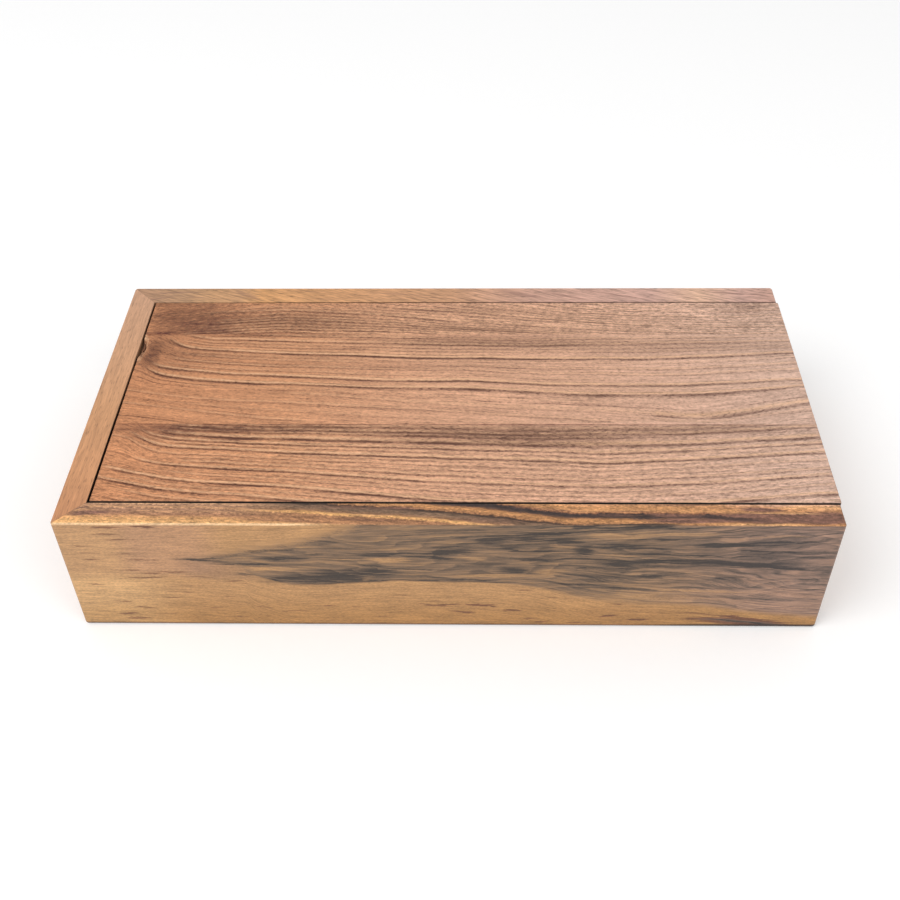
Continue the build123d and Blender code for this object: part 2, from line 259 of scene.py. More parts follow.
RAIL_BANDS = [
    (-67, (219, 166, 110)), (-63.6, (213, 158, 104)), (-62.6, (158, 111, 76)), (-61.4, (176, 124, 84)),
    (-60.4, (150, 105, 72)), (-59.2, (160, 113, 77)), (-58.7, (216, 162, 102)), (-58.1, (208, 154, 98)),
    (-57.6, (150, 109, 77)), (-56.4, (124, 95, 72)), (-55.2, (116, 89, 68)), (-54.7, (70, 50, 38)),
    (-54.2, (78, 54, 40)), (-53.8, (158, 110, 72)), (-52.6, (192, 136, 86)), (-51.6, (172, 120, 76)),
    (-51.0, (84, 60, 50)), (-50.2, (54, 40, 36)), (-49.3, (60, 44, 39)), (-48.8, (142, 94, 64)),
    (-48.0, (192, 137, 89)), (-46, (196, 140, 91)), (-44.4, (204, 148, 106)), (-43.6, (216, 164, 132)),
]
RAIL_PLUM = [
    (-116.5, -59.8, 7.5, 1.3, 0.12, 0.9), (-118.6, -57.2, 2.2, 0.8, 0.6, 0.8),
    (-107, -58.8, 9, 0.9, 0.05, 0.5), (103, -61.2, 27, 3.4, -0.01, 1.0), (122, -61.0, 17, 3.8, 0, 1.0),
    (100.5, -57.5, 9.5, 1.3, -0.01, 1.0), (72, -62.8, 15, 1.0, -0.03, 0.6), (66, -63.8, 7, 0.6, 0, 0.5),
    (-26, -62.6, 14, 0.7, -0.03, 0.4), (-52, -62.8, 16, 0.5, -0.03, 0.4), (76, -55.7, 14, 0.5, 0, 0.5),
    (72, -60.2, 11, 1.1, 0, 0.75), (78, -62.5, 16, 1.5, -0.02, 0.8), (53, -60.2, 12, 0.8, 0, 0.4),
    (96, -60.0, 10, 0.8, 0, 0.5), (60, -58.4, 9, 0.4, 0, 0.4), (36, -57.9, 14, 0.5, -0.08, 0.45),
    (88, -57.0, 9, 0.4, 0, 0.4), (12, -62.8, 16, 1.8, -0.05, 0.35), (-30, -57.2, 22, 0.9, -0.03, 0.4),
    (-14, -57.2, 10, 0.9, -0.04, 0.6),
]
RAIL_GOLD = [
    (-118, -57.9, 3, 0.35, 0.75, 0.8), (100, -64.2, 18, 0.7, 0, 0.75), (119, -56.4, 14, 1.2, -0.01, 0.7),
    (106, -59.1, 18, 0.4, -0.02, 0.7), (-26, -60.5, 9, 0.5, -0.02, 0.6), (15, -64.6, 7, 0.6, 0, 0.25),
    (-60, -64.4, 40, 0.6, 0, 0.6),
]
RAIL_EDGE = [(60, -64.4, 24, 0.75, 0, 1.0), (112, -64.8, 22, 0.3, 0, 0.6), (10, -64.8, 12, 0.5, 0, 0.3)]


def heartwood(wood, foot):
    """The slate-grey figure: the share of it at each place, and its colour."""
    head = wood.curve(wood.x, -128, 128, HEART_HEAD, 0, 60)
    above = wood.less(wood.plus(wood.z, wood.depth), foot)
    above = wood.scaled(wood.less(wood.feather, 0.5), 1.1, above)
    blur = wood.ease(wood.x, 18, 45, 0.35, 1.8)
    blur = wood.math("MAXIMUM", blur, wood.ease(wood.x, -70, -60, 1.7, 0.35))
    inside = wood.ease(wood.math("DIVIDE", above, blur), -1, 1)
    below = wood.less(head, wood.up)
    inside = wood.times(inside, wood.ease(wood.plus(below, wood.sway(wood.grit, 9.0)), -2.5, 4.0))
    rim = wood.ease(wood.unsigned(above), 0.15, 0.75, 0.75, 0.0)
    rim = wood.times(rim, wood.times(wood.ease(wood.x, -66, -60), wood.ease(wood.x, 8, 30, 1.0, 0.25)))

    body = wood.plus(wood.sway(wood.drift, 0.6, 0.46), wood.sway(wood.grain, 1.1))
    body = wood.plus(body, wood.plus(wood.sway(wood.grit, 0.8), wood.sway(wood.feather, 0.35)))
    waves = wood.scaled(wood.noise((60, 30, 11), 2, 0.5, 9.0), 9.0, wood.times(wood.up, 0.30))
    band = wood.math("FRACT", waves)
    band = wood.times(band, wood.ease(band, 0.9, 1.0, 1.0, 0.0))
    body = wood.plus(body, wood.sway(band, 0.34))
    swung = wood.plus(wood.flow, wood.sway(wood.swell, 1.2))
    lines = wood.noise((42, 0.6, 1), 3, 0.65, 12.0, wood.at(wood.x, swung, 0.0))
    hair = wood.noise((26, 0.27, 1), 2, 0.6, 14.0, wood.at(wood.x, wood.flow, 0.0))
    body = wood.plus(body, wood.ease(lines, 0.52, 0.66, -0.05, 0.28))
    body = wood.plus(body, wood.sway(hair, 0.9))
    body = wood.less(body, wood.ease(wood.x, -74, -62, 0.1, 0.0))
    deeper = wood.times(wood.ease(wood.x, -2, 14), wood.ease(wood.x, 68, 90, 1.0, 0.0))
    body = wood.scaled(wood.times(deeper, wood.ease(wood.z, 23, 29)), 0.09, body)
    body = wood.less(body, wood.times(wood.ease(wood.x, 34, 62), wood.ease(wood.z, 17, 26, 0.24, 0.0)))

    streaked = strokes(wood, wood.face, HEART_STREAKS)
    pale = strokes(wood, wood.face, SAP_STREAKS)
    dark = wood.less(wood.scaled(streaked, 1.15, body), wood.times(pale, 0.7))
    dark = wood.scaled(rim, 0.4, dark)
    inside = wood.math("MAXIMUM", inside, wood.clamped(wood.times(streaked, 1.7)))
    inside = wood.math("MAXIMUM", inside, wood.times(rim, 0.5))
    inside = wood.times(inside, wood.ease(pale, 0.12, 0.6, 1.0, 0.25))
    brown, mauve = wood.ramp(dark, 0, 1, HEART_BROWNS), wood.ramp(dark, 0, 1, HEART_MAUVES)
    return inside, wood.blend(wood.ease(wood.x, 55, 115), brown, mauve)


def sapwood(wood):
    """Ochre along the foot, paler at the left, a little rosy and smoky before the figure's tip, flecked."""
    sap = wood.blend(wood.ease(wood.z, 0, 22), tone(172, 125, 72), tone(186, 140, 92))
    left_sap = wood.blend(wood.ease(wood.z, 4, 17), tone(188, 144, 93), tone(206, 161, 110))
    left_sap = wood.blend(wood.ease(wood.z, 21, 30), left_sap, tone(189, 144, 99))
    sap = wood.blend(wood.ease(wood.x, -112, -84, 1.0, 0.0), sap, left_sap)
    rosy = wood.times(wood.ease(wood.x, -112, -100), wood.ease(wood.x, -84, -70, 1, 0))
    rosy = wood.times(rosy, wood.ease(wood.z, 24, 30))
    sap = wood.blend(wood.times(rosy, 0.5), sap, tone(184, 137, 107))
    smoky = wood.times(wood.ease(wood.x, -94, -82), wood.ease(wood.x, -68, -60, 1, 0))
    smoky = wood.times(smoky, wood.ease(wood.plus(wood.z, wood.sway(wood.feather, 6.0)), 22, 27))
    smoky = wood.times(smoky, wood.ease(wood.z, 32, 39, 0.42, 0.0))
    sap = wood.blend(smoky, sap, tone(134, 102, 82))
    flecks = strokes(wood, wood.face, RESIN_FLECKS)
    return wood.blend(wood.clamped(wood.times(flecks, 1.9)), sap, tone(114, 72, 48))


def banded_top(wood):
    """The wall's top edge, where the board's bands come out on a slant."""
    course = wood.less(wood.y, wood.curve(wood.x, -128, 128, RAIL_COURSE, -14, 3))
    wander = wood.plus(wood.sway(wood.swell, 1.2), wood.sway(wood.grit, 1.6))
    course = wood.plus(course, wood.plus(wood.sway(wood.feather, 1.8), wander))
    left, right = (wood.ramp(course, -67, -43, bands) for bands in (RAIL_LEFT_BANDS, RAIL_BANDS))
    rail = wood.blend(wood.ease(wood.x, -76, -46), left, right)
    on_top = wood.at(wood.across, wood.plus(wood.y, wood.sway(wood.feather, 1.0)), 0.0)
    rail = wood.blend(wood.clamped(strokes(wood, on_top, RAIL_PLUM)), rail, tone(124, 86, 70))
    rail = wood.blend(wood.clamped(strokes(wood, on_top, RAIL_GOLD)), rail, tone(214, 161, 110))
    core = wood.ease(wood.unsigned(wood.plus(course, 50.0)), 0.4, 1.1, 0.85, 0.0)
    core = wood.times(core, wood.ease(wood.x, 94, 106, 1.0, 0.0))
    core = wood.times(core, wood.ease(wood.x, 78, 84))
    rail = wood.blend(core, rail, tone(58, 42, 38))
    rail = wood.blend(wood.clamped(strokes(wood, on_top, RAIL_EDGE)), rail, tone(70, 54, 44))
    hairs = wood.noise((13, 0.32, 1), 3, 0.65, 10.0, wood.at(wood.x, course, 0.0))
    slanted = wood.at(wood.x, wood.scaled(wood.x, 0.35, wood.y), 0.0)
    hatch = wood.noise((4.5, 0.5, 1), 2, 0.6, 16.0, slanted)
    speck = wood.plus(wood.sway(wood.grit, 0.6), wood.sway(wood.noise((1.6, 0.9, 3), 2, 0.6, 11.0), 0.5))
    worn = wood.plus(wood.sway(hairs, 2.3, 1.02), wood.plus(speck, wood.sway(hatch, 1.3)))
    return wood.shaded(rail, worn)


def sawn_end(wood):
    """End grain at the wall's square end: rings as arcs, and open pores."""
    feeds = {0: wood.at(0.0, wood.y, wood.z), 1: 0.28, 2: 6.0, 3: 2.0}
    rings = wood.node("TexWave", feeds, wave_type="RINGS", rings_direction="X").outputs[1]
    pores = wood.ease(wood.noise((0.4, 0.4, 0.4), 1, 0.5, 6.0), 0.58, 0.7)
    end = wood.blend(wood.times(rings, 0.5), tone(150, 108, 74), tone(112, 80, 58))
    return wood.blend(wood.times(pores, 0.6), end, tone(70, 46, 34))


def figured_timber():
    """Oiled hardwood, pale sapwood under slate-grey heartwood, with resin flecks."""
    wood = Timber("front_wall_timber")
    wood.fibre = wood.noise((30, 3, 0.5), 3, 0.55, 1.0)
    wood.drift = wood.noise((16, 12, 5), 2, 0.5, 2.0)
    wood.feather = wood.noise((7, 3, 1.1), 4, 0.65, 3.0)
    wood.grit = wood.noise((1.1, 1, 0.45), 3, 0.7, 5.0)
    wood.swell = wood.noise((17, 6, 5), 1, 0.5, 7.0)
    wood.depth = wood.times(wood.less(wood.y, FRONT_FACE), 0.4)
    wood.across = wood.scaled(wood.less(wood.fibre, 0.5), 16.0, wood.x)
    drawn = wood.scaled(wood.less(wood.feather, 0.5), 2.6, wood.times(wood.less(wood.swell, 0.5), 2.4))
    wood.up = wood.plus(wood.plus(wood.z, drawn), wood.depth)
    wood.face = wood.at(wood.across, wood.up, 0.0)

    foot = wood.curve(wood.x, -128, 128, HEART_FOOT, 0, 60)
    sag = wood.times(wood.less(foot, 20.0), wood.ease(wood.z, 16, 38, 1.0, 0.0))
    rise = wood.times(wood.times(wood.x, 0.07), wood.ease(wood.z, 34, 50))
    shaken = wood.plus(wood.sway(wood.swell, 1.3), wood.sway(wood.feather, 0.5))
    wood.flow = wood.less(wood.plus(wood.plus(wood.z, wood.depth), shaken), wood.plus(sag, rise))
    wood.grain = wood.noise((26, 0.55, 1), 3, 0.6, 13.0, wood.at(wood.x, wood.flow, 0.0))
    inside, heart = heartwood(wood, foot)
    front = wood.blend(inside, sapwood(wood), heart)

    up_side = wood.less(wood.less(wood.y, FRONT_FACE), wood.less(BOX_TOP, wood.z))
    topmost = wood.times(wood.ease(up_side, -0.25, 0.25), wood.ease(wood.z, 49.5, 50.6))
    colour = wood.blend(topmost, front, banded_top(wood))
    # Painted highlight: a cream line along the eased edge between face and top, at the left, where that edge
    # catches the light.
    painted_edge_highlight = wood.ease(wood.unsigned(up_side), 0.2, 0.8, 1.0, 0.0)
    painted_edge_highlight = wood.times(painted_edge_highlight, wood.ease(wood.x, -52, -36, 0.7, 0.0))
    painted_edge_highlight = wood.times(painted_edge_highlight, wood.ease(wood.z, 50.0, 50.6))
    colour = wood.blend(painted_edge_highlight, colour, tone(250, 210, 162))
    # Painted shade: a dark line along the foot of the front face, where the rounded bottom edge turns under
    # towards the table, darkest at the right.
    foot_shadow_mask = wood.ease(wood.less(wood.z, wood.ease(wood.x, 70, 88, 0.0, 0.45)), 0.8, 1.6, 0.95, 0.0)
    foot_shadow_mask = wood.times(foot_shadow_mask, wood.ease(wood.y, -63.8, -62.4, 1.0, 0.0))
    foot_shade = wood.blend(wood.ease(wood.x, 66, 84), tone(104, 68, 42), tone(40, 25, 18))
    colour = wood.blend(foot_shadow_mask, colour, foot_shade)

    along = wood.at(wood.x, wood.flow, wood.y)
    streaky = wood.sway(wood.noise((7, 0.34, 1), 3, 0.65, 4.0, along), 0.9)
    streaky = wood.plus(wood.sway(wood.grain, 0.6, 1.0), streaky)
    streaky = wood.plus(streaky, wood.plus(wood.sway(wood.drift, 0.5), wood.sway(wood.grit, 1.2)))
    streaky = wood.plus(streaky, wood.sway(wood.noise((13, 0.75, 1), 3, 0.7, 15.0, along), 0.7))
    colour = wood.shaded(colour, streaky)
    # Painted shade: the top's inner edge and the inside face above the groove are painted near black, where
    # the gap beside the lid lies in shadow.
    by_lid = wood.ease(wood.y, FRONT_INSIDE - 0.34, FRONT_INSIDE - 0.1)
    gap_shade = wood.times(by_lid, wood.ease(wood.z, GAP_SHADE_FROM, GAP_SHADE_FULL))
    colour = wood.blend(gap_shade, colour, tone(9, 6, 5))
    colour = wood.blend(wood.ease(wood.x, OPEN_END - 0.5, OPEN_END - 0.2), colour, sawn_end(wood))
    relief = wood.plus(wood.fibre, wood.times(wood.noise((3.5, 1, 0.22), 2, 0.6, 8.0), 0.6))
    return wood.finish(colour, wood.scaled(wood.fibre, 0.14, 0.42), relief, 0.03)


wear(figured_timber(), "front_wall")


# The back wall is a plainer board of the same wood, mitred and square at the same ends. Its rings are
# followed through the board, so they run as lines along its faces and as arcs over its end. Mauve streaks
# cross its top.
def facing(wood, axis):
    """How squarely a face looks along an axis, from 0 to 1."""
    normal = wood.node("NewGeometry", {}).outputs["True Normal"]
    return wood.unsigned(wood.node("SeparateXYZ", {0: normal}).outputs[axis])


def ring_reach(wood, heart, wander):
    """How far a place lies from the tree's heart, a little astray."""
    return wood.plus(wood.node("VectorMath", {0: heart}, operation="LENGTH").outputs[1], wander)


def plain_timber(name, seed, pale, dark, grain=0, ring=1.3, oiled=True):
    """Straight-grained timber along the axis grain, its rings about a heart that lies outside the board."""
    wood = Timber(name)
    axes = [wood.x, wood.y, wood.z]
    along, side, high = axes[grain], axes[(grain + 1) % 3], axes[(grain + 2) % 3]

    def streaked(long, wide, *rest):
        size = [wide, wide, wide]
        size[grain] = long
        return wood.noise(size, *rest)

    bend = streaked(70, 9, 2, 0.5, seed)
    heart = wood.at(0.0, wood.plus(side, 21.0 + 9 * (seed % 3)), wood.plus(high, 60.0 + 7 * (seed % 2)))
    reach = ring_reach(wood, heart, wood.sway(bend, 14.0))
    rings = wood.noise((ring, 90, 1), 3, 0.6, seed + 1, wood.at(reach, along, 0.0))
    fibre = streaked(14, 0.45, 3, 0.6, seed + 2)
    pores = wood.ease(streaked(3.4, 0.28, 1, 0.5, seed + 3), 0.60, 0.72)
    shade = wood.plus(wood.ease(rings, 0.32, 0.68), wood.sway(fibre, 0.9))
    colour = wood.blend(wood.clamped(shade), tone(*pale), tone(*dark))
    colour = wood.blend(wood.times(pores, 0.45), colour, tone(*(0.5 * c for c in dark)))
    colour = wood.shaded(colour, wood.sway(wood.noise((1.1, 1.1, 1.1), 2, 0.7, seed + 4), 0.35, 1.0))
    cut_end = wood.ease(facing(wood, grain), 0.8, 0.95)
    colour = wood.blend(wood.times(cut_end, 0.45), colour, tone(*(0.42 * c for c in dark)))
    wood.relief = wood.less(fibre, wood.times(pores, 0.6))
    wood.rough = wood.sway(fibre, 0.3, 0.48 if oiled else 0.72)
    return wood, colour


BACK_FACE, BACK_INSIDE = 64.7, 55.1
BACK_TOP_SHADES = [
    (-127, (176, 134, 104)), (-106, (182, 140, 104)), (-95, (200, 152, 108)), (-84, (196, 148, 106)),
    (-76, (212, 156, 102)), (-45, (208, 153, 106)), (0, (200, 150, 113)), (30, (202, 157, 136)),
    (78, (206, 164, 148)), (97, (224, 181, 152)), (113, (208, 166, 150)), (127, (204, 160, 142)),
]
BACK_TOP_STREAKS = [
    (-81, 59.5, 9, 1.7, -0.58, 0.3), (-117, 57.5, 8, 1.0, 0.3, 0.3), (-110, 61.5, 14, 0.6, 0.05, 0.3),
    (-99, 58, 10, 0.5, -0.1, 0.25), (-60, 62.5, 16, 0.4, -0.05, 0.25), (-52, 57.2, 14, 0.4, -0.04, 0.25),
    (-24, 60.5, 16, 0.5, -0.08, 0.3), (-8, 58, 14, 0.4, -0.1, 0.25), (27, 60.4, 12, 1.6, -0.3, 0.45),
    (12, 61.5, 10, 0.5, -0.2, 0.3), (45, 59, 12, 0.7, -0.35, 0.45), (60, 61, 14, 0.7, -0.3, 0.45),
    (72, 58, 12, 0.6, -0.3, 0.4), (84, 61.8, 12, 0.5, -0.25, 0.35), (112, 60.5, 17, 0.7, -0.12, 0.6),
    (95, 57.5, 10, 0.5, -0.2, 0.35), (120, 57.5, 8, 0.5, -0.1, 0.35), (104, 62.8, 18, 0.4, -0.05, 0.3),
]


def back_timber():
    """Plain timber, its top edge tanner at the left and pinker at the right, with slanting streaks."""
    wood, colour = plain_timber("back_wall_timber", 4.0, (204, 157, 114), (172, 124, 84), grain=0)
    top = wood.times(wood.ease(wood.z, 50.2, 50.9), wood.ease(wood.y, BACK_FACE, BACK_FACE - 0.3))
    slant = wood.at(wood.x, wood.scaled(wood.x, 0.4, wood.y), 0.0)
    hatch = wood.noise((9, 0.8, 2), 3, 0.65, 6.0, slant)
    weave = wood.plus(wood.sway(wood.relief, 0.25, 1.03), wood.sway(hatch, 0.5))
    rail = wood.shaded(wood.ramp(wood.x, -128, 128, BACK_TOP_SHADES), wood.scaled(weave, 3.3, -2.4))
    wander = wood.sway(wood.noise((9, 2, 2), 3, 0.6, 7.0), 2.0)
    streaks = strokes(wood, wood.at(wood.x, wood.plus(wood.y, wander), 0.0), BACK_TOP_STREAKS)
    rail = wood.blend(wood.clamped(streaks), rail, tone(128, 92, 82))
    colour = wood.blend(top, colour, rail)
    # Painted shade: the inside face and edge beside the lid, above the groove, are painted dark brown where
    # the gap lies in shadow, lighter at the left.
    by_lid = wood.ease(wood.y, BACK_INSIDE, BACK_INSIDE + 0.25, 1.0, 0.0)
    gap_shade = wood.times(by_lid, wood.ease(wood.z, GAP_SHADE_FROM, GAP_SHADE_FULL))
    colour = wood.blend(wood.times(gap_shade, wood.ease(wood.x, -90, -50, 0.3, 0.6)), colour, tone(40, 26, 18))
    return wood.finish(colour, wood.rough, wood.relief, 0.03)


wear(back_timber(), "back_wall")


# The closed end wall joins the two at the left, mitred at both ends, with its grain running front to back.
# It is a plain, even board, browner at the front and pinker at the back.
END_INSIDE, KNOT_MIDDLE = -117.7, 26.6
END_SHADE_FROM, END_SHADE_FULL = 48.8, 49.5
LEFT_TOP_SHADES = [
    (-65, (192, 134, 94)), (-45, (201, 144, 101)), (-10, (205, 151, 108)), (20, (204, 154, 116)),
    (65, (203, 157, 125))
]


def end_wall_timber():
    """Plain timber with a dark line at each mitre, and a shaded edge beside the lid."""
    pale, dark = (207, 160, 120), (184, 134, 96)
    wood, colour = plain_timber("closed_end_timber", 8.0, pale, dark, grain=1, ring=0.9)
    top = wood.ease(wood.z, 50.0, 50.8)
    hatch = wood.noise((0.8, 8, 2), 3, 0.6, 9.0)
    weave = wood.plus(wood.sway(wood.relief, 0.22, 1.03), wood.sway(hatch, 0.25))
    rail = wood.shaded(wood.ramp(wood.y, -66, 66, LEFT_TOP_SHADES), wood.scaled(weave, 3.0, -2.09))
    colour = wood.blend(top, colour, rail)
    # Painted shade: the inside face beside the lid's end, above the groove, is painted dark where the gap
    # lies in shadow, less so where light reaches into it.
    by_lid = wood.ease(wood.x, END_INSIDE - 0.15, END_INSIDE)
    gap_shade = wood.times(by_lid, wood.ease(wood.z, END_SHADE_FROM, END_SHADE_FULL))
    lit = wood.times(wood.ease(wood.z, 49.4, 51.0, 0.0, 0.5), wood.ease(wood.y, -25, 15))
    past_knot = wood.ease(wood.unsigned(wood.less(wood.y, KNOT_MIDDLE)), 4.0, 6.0, 0.62, 0.0)
    lit = wood.math("MAXIMUM", lit, wood.times(past_knot, wood.ease(wood.z, 48.0, 50.0)))
    colour = wood.blend(wood.times(gap_shade, wood.less(0.97, lit)), colour, tone(24, 15, 11))
    joint = wood.less(wood.unsigned(wood.y), wood.less(-62.6, wood.x))
    joint = wood.ease(wood.unsigned(joint), 0.05, 0.3, 0.5, 0.0)
    colour = wood.blend(joint, colour, tone(96, 62, 42))
    return wood.finish(colour, wood.rough, wood.relief, 0.03)


wear(end_wall_timber(), "closed_end_wall")


# The open end wall stands between the long walls on dowels, low enough for the lid to pass over it. It was
# cut from the same plain stock as the closed one, its grain running front to back.
def plain_finish(name, seed, pale, dark, height=0.03, **cut):
    """The finish of a piece that is plain all over, with its fibres in low relief."""
    wood, colour = plain_timber(name, seed, pale, dark, **cut)
    return wood.finish(colour, wood.rough, wood.relief, height)


wear(plain_finish("open_end_timber", 11.0, (200, 152, 110), (166, 118, 80), grain=1), "open_end_wall")


# The bottom panel is a thin board, planed and left unoiled. It isn't glued: it floats in a groove in all
# four walls, its grain running the length of the box.
PANEL_PALE, PANEL_DARK = (205, 165, 125), (182, 138, 98)
panel = plain_finish("bottom_panel_timber", 14.0, PANEL_PALE, PANEL_DARK, 0.04, ring=2.2, oiled=False)
wear(panel, "bottom_panel")


# The divider keeps the prints at the open end. It is planed and unoiled, its top edge rounded by hand, and
# it stands in a dado in each long wall, its grain running front to back.
DIVIDER_PALE, DIVIDER_DARK = (203, 159, 118), (174, 128, 90)
divider = plain_finish("divider_timber", 17.0, DIVIDER_PALE, DIVIDER_DARK, 0.04, grain=1, oiled=False)
wear(divider, "compartment_divider")


# Blind splines cross the two mitres, and four blind dowels pin the open end wall between the long walls.
# All are cut from a paler, closer wood and left bare.
SPLINE_PALE, SPLINE_DARK = (214, 180, 138), (194, 156, 112)
DOWEL_PALE, DOWEL_DARK = (220, 186, 144), (198, 160, 116)
spline = plain_finish("spline_timber", 20.0, SPLINE_PALE, SPLINE_DARK, grain=2, ring=0.8, oiled=False)
wear(spline, "front_mitre_spline", "back_mitre_spline")
dowel = plain_finish("dowel_timber", 23.0, DOWEL_PALE, DOWEL_DARK, grain=1, ring=0.7, oiled=False)
wear(dowel, "front_lower_dowel", "front_upper_dowel", "back_lower_dowel", "back_upper_dowel")


# The lid is glued up from three boards of the same wood, left rough from the saw and wire-brushed, so the
# soft early wood lies low and every ring stands as a dark furrow. A rabbet round its upper edge leaves the
# tongues that slide in the walls' groove.
LID_LEFT, LID_RIGHT, LID_FRONT, LID_BACK = -117.05, 127.3, -54.55, 54.85
FRONT_SEAM, BACK_SEAM = -16.35, 34.65
LID_TOP, TONGUE_TOP, LID_UNDER = 51.2, 46.9, 43.2
TONGUE_LEFT, TONGUE_FRONT, TONGUE_BACK = -121.7, -59.1, 59.1
EASED_EDGE, EASED_CORNER = 0.35, 0.8


def ripple(u, v, seed):
    """Soft seeded noise from 0 to 1, about one blob to a unit along u and v."""
    table = np.random.default_rng(seed).random((256, 256))
    i, j = np.floor(u).astype(int), np.floor(v).astype(int)
    s, t = u - i, v - j
    s, t = s * s * (3 - 2 * s), t * t * (3 - 2 * t)
    i, j, i1, j1 = i % 256, j % 256, (i + 1) % 256, (j + 1) % 256
    near, far = table[i, j] * (1 - s) + table[i1, j] * s, table[i, j1] * (1 - s) + table[i1, j1] * s
    return near * (1 - t) + far * t


def smudges(x, y, patches):
    """Soft patches, each (x, y, half length, half width, slope, strength), laid over one another."""
    clear = np.ones_like(x)
    for px, py, length, width, slope, strength in patches:
        reach = ((x - px) / length) ** 2 + ((y - py - slope * (x - px)) / width) ** 2
        clear *= 1 - strength * np.exp(-reach)
    return 1 - clear


def grain_field(xs, ys, tracks, seed):
    """The grain's course. Each track is a label, and the points that its grain line passes through."""
    labels = sorted(tracks)
    even = np.arange(-135.0, 145.0, 1.0)
    bell = np.exp(-(np.arange(-9, 10) / 4.0) ** 2)
    lines = []
    for label in labels:
        line = np.interp(even, *zip(*tracks[label]))
        line = np.convolve(np.pad(line, 9, mode="edge"), bell / bell.sum(), mode="valid")
        lines.append(np.interp(xs, even, line))
    lines = np.array(lines)
    field = np.array([np.interp(ys, lines[:, i], labels) for i in range(len(xs))])
    x, y = np.meshgrid(xs, ys, indexing="ij")
    wide, narrow = ripple(x / 26, y / 11, seed) - 0.5, ripple(x / 7, y / 4, seed + 1) - 0.5
    return field + 0.9 * wide + 0.35 * narrow


FAINT_RING_STEP = 0.62


def ring_lines(x, field, rings, seed):
    """The rings' dark lines and the pale bands past them. A ring is (label, strength, width, start, end)."""
    line, pale = np.zeros_like(x), np.zeros_like(x)
    for label, strength, width, start, end in rings:
        reach = np.clip((x - start) / 5, 0, 1) * np.clip((end - x) / 5, 0, 1)
        vary = 0.5 + 0.8 * ripple(x / 9 + label, label + 0 * x, seed + 2)
        off = (field - label) / np.where(field > label, width, 1.7 * width)
        line = np.maximum(line, strength * vary * reach * np.exp(-off ** 2))
        # The pale band past each ring is partly lighter late wood and partly a painted highlight on the
        # furrow's lit side.
        beside = (field - label - 2.1 * width) / (1.3 * width)
        pale = np.maximum(pale, strength * reach * np.exp(-beside ** 2))
    rng = np.random.default_rng(seed + 3)
    for label in np.arange(field.min(), field.max(), FAINT_RING_STEP):
        faint = rng.uniform(0.15, 0.75) * ripple(x / 12, label * 3 + 0 * x, seed + 4) ** 2
        line = np.maximum(line, faint * np.exp(-((field - label - rng.uniform(-0.25, 0.25)) / 0.2) ** 2))
    return line, pale


HOLLOW_MIDDLE, HOLLOW_DEPTH = 26.2, 1.3


def fallen_knot(x, y, seed):
    """Where the knot fell out: the hollow, the pale curl and lip of bark in it, and the dip round it."""
    reach = np.hypot((x - LID_LEFT) / 1.75, (y - HOLLOW_MIDDLE) / 6.4)
    torn, frayed = ripple(x / 0.9, y / 1.5, seed + 8) - 0.5, ripple(x / 0.6, y / 4, seed + 9) - 0.5
    reach += 0.3 * torn + 0.22 * frayed
    hollow = np.clip((1.06 - reach) / 0.22, 0, 1)
    hollow = hollow * hollow * (3 - 2 * hollow)
    lip = 0.9 * np.exp(-((reach - 1.2) / 0.1) ** 2)
    curl = np.exp(-((np.hypot((x - LID_LEFT) / 1.15, (y - KNOT_MIDDLE) / 5.9) - 1) / 0.2) ** 2)
    dip = 0.15 * np.exp(-((reach - 1.5) / 0.2) ** 2)
    return hollow * (1 - 0.9 * curl), np.maximum(lip, curl), dip


def edge_drop(x, y, front, back):
    """How far the top falls away at the lid's outer edges, and in the fine seams between its boards."""
    free = [x - LID_LEFT, LID_RIGHT - x]
    seams = []
    for is_free, distance in ((front == LID_FRONT, y - front), (back == LID_BACK, back - y)):
        (free if is_free else seams).append(distance)
    near = np.minimum.reduce(free)
    inward = np.clip(EASED_EDGE - near, 0, None)
    drop = EASED_EDGE - np.sqrt(np.clip(EASED_EDGE ** 2 - inward ** 2, 0, None))
    for distance in seams:
        drop = np.maximum(drop, 0.12 * np.exp(-(distance / 0.12) ** 2))
    return drop


def eased_corners(x, y, front, back):
    """The board's plan, with the lid's two corners at the open end rounded."""
    plan_x, plan_y = x.copy(), y.copy()
    for edge, inward in ((front, 1), (back, -1)):
        if edge in (LID_FRONT, LID_BACK):
            dx, dy = x - (LID_RIGHT - EASED_CORNER), (edge + inward * EASED_CORNER - y) * inward
            corner = (dx > 0) & (dy > 0)
            squeeze = np.where(corner, np.maximum(dx, dy) / np.maximum(np.hypot(dx, dy), 1e-9), 1.0)
            plan_x = np.where(corner, LID_RIGHT - EASED_CORNER + dx * squeeze, plan_x)
            plan_y = np.where(corner, edge + inward * (EASED_CORNER - dy * squeeze), plan_y)
    return plan_x, plan_y


